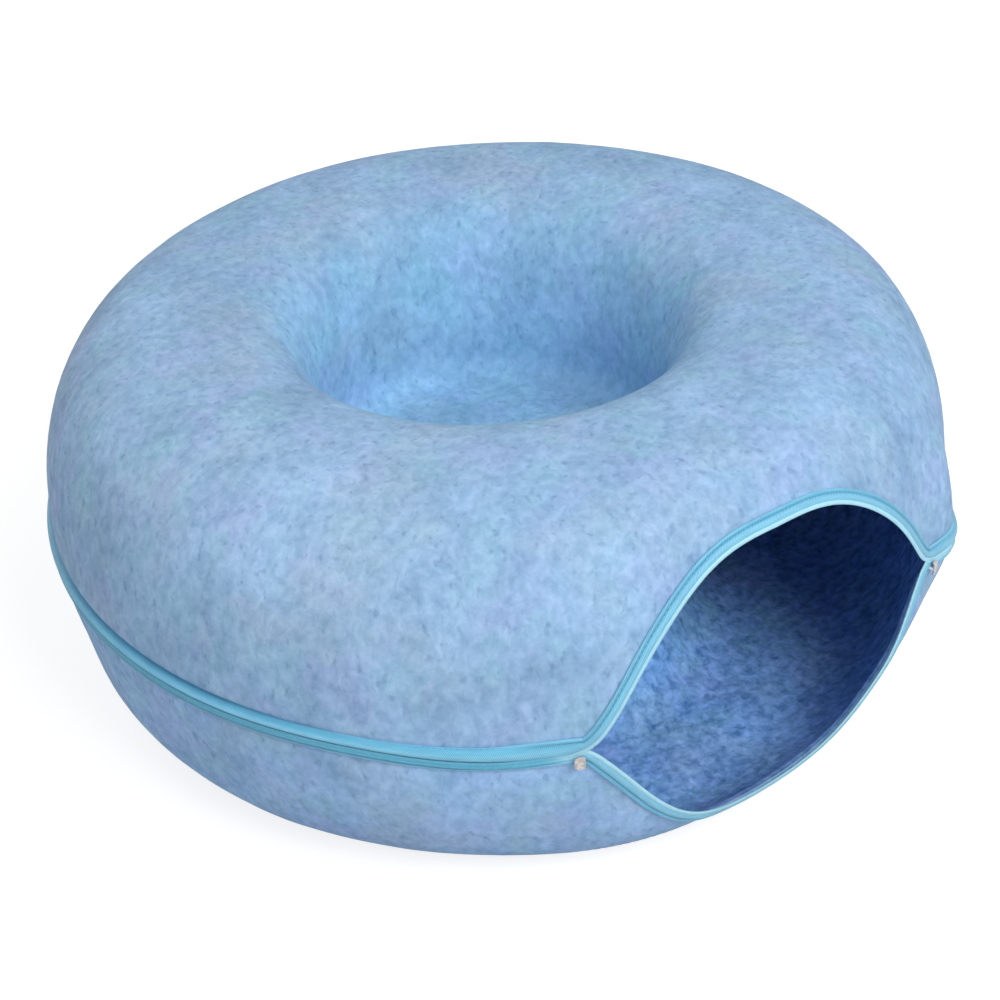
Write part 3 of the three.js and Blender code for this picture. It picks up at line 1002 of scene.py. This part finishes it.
def felt_finish(name, heather, fibre_colours_and_painted_shade):
    """The fibres' colours where they differ from the group's own. Inside the tunnel they are
    painted shade.
    """
    constants = {"Specular IOR Level": 0.15, "Sheen Weight": 0.05, "Sheen Roughness": 0.6}
    constants["Sheen Tint"] = linear(205, 222, 245)
    material, tree, shader = new_finish(name, constants)
    feeds = {"Vector": object_place(tree), "Cloth": cloth_place(tree), **fibre_colours_and_painted_shade}
    felted = add(tree, "ShaderNodeGroup", feeds, node_tree=heather).outputs
    feed(tree, shader, {"Base Color": felted["Color"], "Roughness": felted["Roughness"]})
    feed(tree, shader, {"Normal": relief_normal(tree, felted["Height"], 0.4, 0.7 * MM)})
    return material


def weave_group():
    """A fine twill on the piece's own map: diagonal ribs broken by the threads that cross them.
    It is painted paler along the tape's sewn edge, and from its fold to its coil: painted highlight
    where these catch the light."""
    inputs = {
        "Vector": ("Vector", None),
        "Thread Pitch": ("Float", 0.6 * MM),
        "Thread": ("Color", linear(98, 182, 218)),
        "Between": ("Color", linear(80, 158, 198)),
        "Painted Highlight Thread": ("Color", linear(124, 198, 232)),
    }
    tree, given, result = new_group("woven tape", inputs, {"Color": "Color", "Height": "Float"})
    cloth = axes(tree, given["Vector"])
    pitch = given["Thread Pitch"]
    along, across = (calculate(tree, "DIVIDE", cloth[axis], pitch) for axis in "XY")
    rib = calculate(tree, "MULTIPLY", calculate(tree, "ADD", along, across), math.pi)
    rib = calculate(tree, "MULTIPLY_ADD", calculate(tree, "SINE", rib), 0.35, 0.5)
    cross = calculate(tree, "SINE", calculate(tree, "MULTIPLY", across, 2 * math.pi))
    height = calculate(tree, "MULTIPLY_ADD", cross, 0.15, rib)
    # Painted highlight: the sewn edge and the half from the fold to the coil get the paler thread.
    inner_highlight = ramp(tree, cloth["Y"], 0.3 * TAPE_WIDTH, 0.4 * TAPE_WIDTH)
    selvedge_highlight = ramp(tree, cloth["Y"], 0.12 * TAPE_WIDTH, 0.05 * TAPE_WIDTH)
    pale = calculate(tree, "MAXIMUM", inner_highlight, selvedge_highlight)
    threads = mix_colour(tree, pale, given["Thread"], given["Painted Highlight Thread"])
    colour = mix_colour(tree, ramp(tree, height, 0.15, 0.7), given["Between"], threads)
    uneven = stretched_noise(tree, given["Vector"], (0, 0, 0), (60, 400, 1))
    darker, lighter = (0.9, 0.92, 0.94, 1), (1.06, 1.05, 1.04, 1)
    shade = mix_colour(tree, ramp(tree, uneven, 0.3, 0.7), darker, lighter)
    colour = mix_colour(tree, 1.0, colour, shade, "MULTIPLY")
    feed(tree, result, {"Color": colour, "Height": height})
    return tree


# The zip lies open from here towards the entrance, where its painted shade and painted light change
OPEN_ZIP_Y = (-268 * MM, -280 * MM)


def towards_entrance(tree):
    return ramp(tree, axes(tree, object_place(tree))["Y"], *OPEN_ZIP_Y)


def tape_finish(name, weave, closed_painted_shade):
    """The last argument multiplies the tape's colour where the zip is closed: painted shade, on the
    lower tape whose face turns down from the light.
    """
    material, tree, shader = new_finish(name, {"Roughness": 0.55, "Sheen Weight": 0.15})
    feeds = {"Vector": cloth_place(tree)}
    woven = add(tree, "ShaderNodeGroup", feeds, node_tree=weave).outputs
    tint = mix_colour(tree, towards_entrance(tree), (*closed_painted_shade, 1), WHITE)
    colour = mix_colour(tree, 1.0, woven["Color"], tint, "MULTIPLY")
    ribs = relief_normal(tree, woven["Height"], 0.5, 0.2 * MM)
    feed(tree, shader, {"Base Color": colour, "Normal": ribs})
    return material


def even_grain(tree, turn, scale, detail):
    """Noise that is as long as it is wide, on the piece's own place."""
    return stretched_noise(tree, object_place(tree), turn, (scale,) * 3, detail)


def plastic_finish():
    """Coil plastic, painted deeper teal where the coils are closed, for painted shade in the seam's
    groove, and paler where they lie open at the entrance, for painted backlight.
    """
    material, tree, shader = new_finish("teal coil plastic", {"Roughness": 0.45})
    uneven = even_grain(tree, (0, 0, 0), 300, 2.0)
    # Painted shade where the coils are closed, painted backlight where they lie open.
    closed = mix_colour(tree, uneven, linear(74, 158, 194), linear(92, 176, 212))
    open_backlit = mix_colour(tree, uneven, linear(140, 200, 226), linear(160, 214, 236))
    colour = mix_colour(tree, towards_entrance(tree), closed, open_backlit)
    feed(tree, shader, {"Base Color": colour})
    return material


def thread_finish():
    material, tree, shader = new_finish("teal sewing thread", {"Roughness": 0.6})
    twist = even_grain(tree, (0.4, 0.2, 0.8), 1500, 2.0)
    colour = mix_colour(tree, twist, linear(62, 128, 170), linear(92, 160, 200))
    feed(tree, shader, {"Base Color": colour})
    return material


def metal_finish():
    material, tree, shader = new_finish("worn plated metal", {"Metallic": 0.45})
    worn = even_grain(tree, (0.3, 0.2, 0.5), 260, 1.5)
    dull, bright = linear(176, 182, 186), linear(216, 224, 232)
    colour = mix_colour(tree, ramp(tree, worn, 0.35, 0.7), dull, bright)
    rough = ramp(tree, worn, 0.8, 0.2, to=(0.25, 0.5))
    feed(tree, shader, {"Base Color": colour, "Roughness": rough})
    return material


def floor_finish():
    """White paper, lit evenly to the eye, that throws only part of its light back on the felt."""
    constants = {"Base Color": (0.6, 0.6, 0.6, 1), "Roughness": 0.9, "Specular IOR Level": 0.1}
    material, tree, shader = new_finish("white studio paper", constants)
    seen = add(tree, "ShaderNodeBsdfDiffuse", {"Color": (0.32, 0.36, 0.38, 1)})
    glow = add(tree, "ShaderNodeEmission", {"Strength": 0.77})
    lit = add(tree, "ShaderNodeAddShader", {0: seen.outputs[0], 1: glow.outputs[0]})
    by_camera = add(tree, "ShaderNodeLightPath").outputs["Is Camera Ray"]
    feeds = {0: by_camera, 1: shader.outputs[0], 2: lit.outputs[0]}
    either = add(tree, "ShaderNodeMixShader", feeds)
    surface = next(n for n in tree.nodes if n.type == "OUTPUT_MATERIAL")
    feed(tree, surface, {"Surface": either.outputs[0]})
    return material


# The whole object

LOWER_SHADES = {
    "Pale Fibre": linear(150, 196, 246),
    "Deep Fibre": linear(110, 152, 196),
    "Lavender Drift": linear(144, 172, 228),
}
# Painted shade: inside the tunnel the fibres are deeper and bluer, for the tunnel's shade and the
# blue light bounced in it. The stronger mottling is the felt's own texture.
INSIDE_PAINTED_SHADE_AND_MOTTLING = {
    "Pale Fibre": linear(128, 184, 252),
    "Deep Fibre": linear(86, 136, 198),
    "Lavender Drift": linear(126, 162, 230),
    "Teal Drift": linear(114, 174, 214),
    "Grey Drift": linear(122, 164, 208),
    "Mottling": (2.9, 2.1, 1.5),
}
# Painted shade: the upper shell's inside is darker still, for the deep shade under the ridge.
UPPER_INSIDE_PAINTED_SHADE = {
    **INSIDE_PAINTED_SHADE_AND_MOTTLING,
    "Pale Fibre": linear(104, 152, 206),
    "Deep Fibre": linear(74, 114, 160),
    "Lavender Drift": linear(100, 132, 186),
    "Teal Drift": linear(96, 142, 186),
    "Grey Drift": linear(100, 136, 176),
}
heather = heather_group()
felts = {
    "upper": felt_finish("pale blue felt", heather, {}),
    "lower": felt_finish("pale blue felt, lower shell", heather, LOWER_SHADES),
}
inner_painted_shade_felts = {
    "upper": felt_finish("blue felt, upper inside, painted shade", heather, UPPER_INSIDE_PAINTED_SHADE),
    "lower": felt_finish("blue felt, lower inside, painted shade", heather, INSIDE_PAINTED_SHADE_AND_MOTTLING),
}
weave = weave_group()
tape_cloths = {
    "upper": tape_finish("cyan zip tape", weave, (1, 1, 1)),
    # Painted shade: the lower tape is darker where the zip is closed, for its face turned down from
    # the light.
    "lower": tape_finish("cyan zip tape, lower, painted shade", weave, (0.82, 0.8, 0.86)),
}
coil_plastic = plastic_finish()
thread = thread_finish()
metal = metal_finish()

for place in ("upper", "lower"):
    shell = felt_shell(place, (felts[place], inner_painted_shade_felts[place]))
    finish_piece(shell, None, "felt", f"{place}_felt")
    tape = zip_tape(place)
    finish_piece(tape, tape_cloths[place], "zip_tape", f"{place}_zip_tape")
    teeth = coil(place)
    finish_piece(teeth, coil_plastic, "zip_coil", f"{place}_zip_coil")
    sewing = stitches(place)
    finish_piece(sewing, thread, "zip_tape")
for name, towards in (("left_slider", 1), ("right_slider", -1)):
    finish_piece(slider(f"{name}_body", towards), metal, "slider_metal", name)

# Studio

FLOOR_SIZE = 30
UNDER_BASE = 0.3 * MM
bpy.ops.object.select_all(action="DESELECT")
bpy.ops.mesh.primitive_plane_add(size=FLOOR_SIZE, location=(0, 0, -UNDER_BASE))
floor = bpy.context.object
floor.name = "floor"
floor.data.materials.append(floor_finish())

WARM = (1.0, 0.887, 0.826)
world = bpy.data.worlds.new("studio")
bpy.context.scene.world = world
world.use_nodes = True
background = next(n for n in world.node_tree.nodes if n.type == "BACKGROUND")
feed(world.node_tree, background, {"Color": (*WARM, 1), "Strength": 0.45})

# Softboxes: azimuth from the entrance's side towards its right, elevation, power
SOFTBOXES = {
    "front key": (0, 40, 64),
    "left side": (-80, 30, 19),
    "front right": (30, 45, 11),
    "high right": (60, 65, 9),
    "low back": (175, 15, 20),
}
SOFTBOX_AIM = Vector((0, 0, 0.12))
SOFTBOX_DISTANCE = 3.0
SOFTBOX_SIZE = 1.4


def put(name, data, location, turn):
    """Puts a lamp or the camera in the scene."""
    placed = bpy.data.objects.new(name, data)
    bpy.context.scene.collection.objects.link(placed)
    placed.location = location
    placed.rotation_mode = "QUATERNION"
    placed.rotation_quaternion = turn
    return placed


for name, (azimuth, elevation, power) in SOFTBOXES.items():
    a, e = math.radians(azimuth), math.radians(elevation)
    towards = Vector((math.sin(a) * math.cos(e), -math.cos(a) * math.cos(e), math.sin(e)))
    light = bpy.data.lights.new(name, "AREA")
    light.shape = "SQUARE"
    light.size = SOFTBOX_SIZE
    light.energy = power
    light.color = WARM
    aimed = (-towards).to_track_quat("-Z", "Y")
    put(name, light, SOFTBOX_AIM + towards * SOFTBOX_DISTANCE, aimed)

# Camera: the photograph's view

EYE = Vector((-0.7277, -1.0502, 0.9575))
AIM = Vector((0.0012, -0.0119, 0.1002))
CAMERA_ROLL = 0.048
camera_data = bpy.data.cameras.new("camera")
camera_data.sensor_width = 36
camera_data.lens = 79.75
camera_data.clip_start = 0.01
camera_data.clip_end = 100
aimed = (AIM - EYE).to_track_quat("-Z", "Y")
turned = aimed @ Matrix.Rotation(-CAMERA_ROLL, 3, "Z").to_quaternion()
bpy.context.scene.camera = put("camera", camera_data, EYE, turned)
bpy.context.scene.view_settings.view_transform = "Standard"
bpy.context.scene.view_settings.look = "None"
